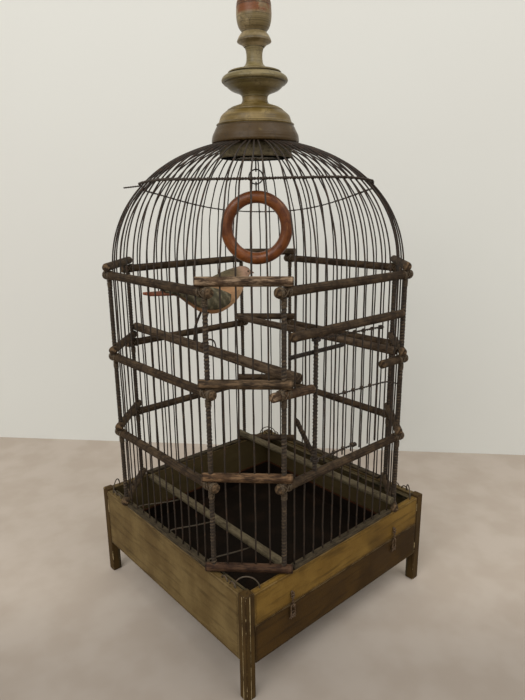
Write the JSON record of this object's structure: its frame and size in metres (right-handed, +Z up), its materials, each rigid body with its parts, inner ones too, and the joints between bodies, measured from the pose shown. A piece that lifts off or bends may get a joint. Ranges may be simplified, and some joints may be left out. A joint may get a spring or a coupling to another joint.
{
  "type": "canary breeding cage",
  "caption": "Old wire canary breeding cage with cut corners and a domed top under a turned finial, on a square wooden base with a sliding tray, a hanging flap, a wire door and a ring swing.",
  "frame": {"origin": "centre of the base on the floor", "axes": "+Z up; -Y towards the front, which has the door and the flap; +X towards the right side"},
  "size_m": [0.3092, 0.3092, 0.725],
  "materials": {
    "board_paint": "worn olive-brown paint, rubbed pale at the corners",
    "turned_paint": "crackled khaki paint",
    "dowel_wood": "grey-brown weathered dowel",
    "pale_dowel": "light grey weathered dowel",
    "old_iron": "dark rusted wire",
    "tray_iron": "dark stained sheet iron",
    "ring_wood": "orange-brown varnished wood",
    "bird_paint": "painted grey-green wing, cream breast, rust tail"
  },
  "bodies": {
    "cage": {"front_right_leg_post": "board_paint", "back_right_leg_post": "board_paint", "back_left_leg_post": "board_paint", "front_left_leg_post": "board_paint", "left_board": "board_paint", "right_board": "board_paint", "back_board": "board_paint", "front_rail": "board_paint", "left_tray_runner": "pale_dowel", "hinge_staple_left": "old_iron", "right_tray_runner": "pale_dowel", "hinge_staple_right": "old_iron", "front_bars": "old_iron", "front_lower_rail": "dowel_wood", "front_dome": "old_iron", "right_bars": "old_iron", "right_lower_rail": "dowel_wood", "right_dome": "old_iron", "back_bars": "old_iron", "back_lower_rail": "dowel_wood", "back_dome": "old_iron", "left_bars": "old_iron", "left_lower_rail": "dowel_wood", "left_dome": "old_iron", "right_middle_rail": "dowel_wood", "back_middle_rail": "dowel_wood", "left_middle_rail": "dowel_wood", "front_middle_rail_left": "dowel_wood", "front_middle_rail_right": "dowel_wood", "front_right_grille": "dowel_wood", "front_right_dome": "old_iron", "back_right_grille": "dowel_wood", "back_right_dome": "old_iron", "back_left_grille": "dowel_wood", "back_left_dome": "old_iron", "front_left_grille": "dowel_wood", "front_left_dome": "old_iron", "dome_hoop": "old_iron", "crown_puck": "dowel_wood", "finial_bell": "turned_paint", "finial_disc": "turned_paint", "finial_urn": "turned_paint", "swing_hook": "old_iron", "left_perch": "dowel_wood", "right_perch": "dowel_wood", "low_left_perch": "pale_dowel", "low_right_perch": "pale_dowel", "door_lintel": "dowel_wood", "door_hinge_post": "old_iron", "inner_rod": "old_iron", "toy_bird": "bird_paint"},
    "tray_flap": {"tray_flap": "board_paint"},
    "dropping_tray": {"dropping_tray": "tray_iron"},
    "door": {"door": "old_iron"},
    "swing_link": {"swing_link": "old_iron"},
    "swing_ring": {"swing_ring": "ring_wood"}
  },
  "joints": [
    {"name": "tray_slide", "type": "slide", "parent": "cage", "child": "dropping_tray", "axis": [0, -1, 0], "range_m": [0, 0.0988]},
    {"name": "flap_hinge", "type": "hinge", "parent": "cage", "child": "tray_flap", "pos_m": [0, -0.15225, 0.085], "axis": [-1, 0, 0], "range_deg": [0, 149]},
    {"name": "door_hinge", "type": "hinge", "parent": "cage", "child": "door", "pos_m": [-0.0503, -0.1447, 0.295], "axis": [0, 0, -1], "range_deg": [0, 110]},
    {"name": "link_swing", "type": "hinge", "parent": "cage", "child": "swing_link", "pos_m": [0, 0, 0.5287], "axis": [0.7071, -0.7071, 0], "range_deg": [-35, 35]},
    {"name": "ring_swing", "type": "hinge", "parent": "swing_link", "child": "swing_ring", "pos_m": [0, 0, 0.5127], "axis": [0.7071, -0.7071, 0], "range_deg": [-40, 40]}
  ],
  "couplings": [
    {"joint": "flap_hinge", "follows": "tray_slide", "rad_per_m": 26.316}
  ]
}
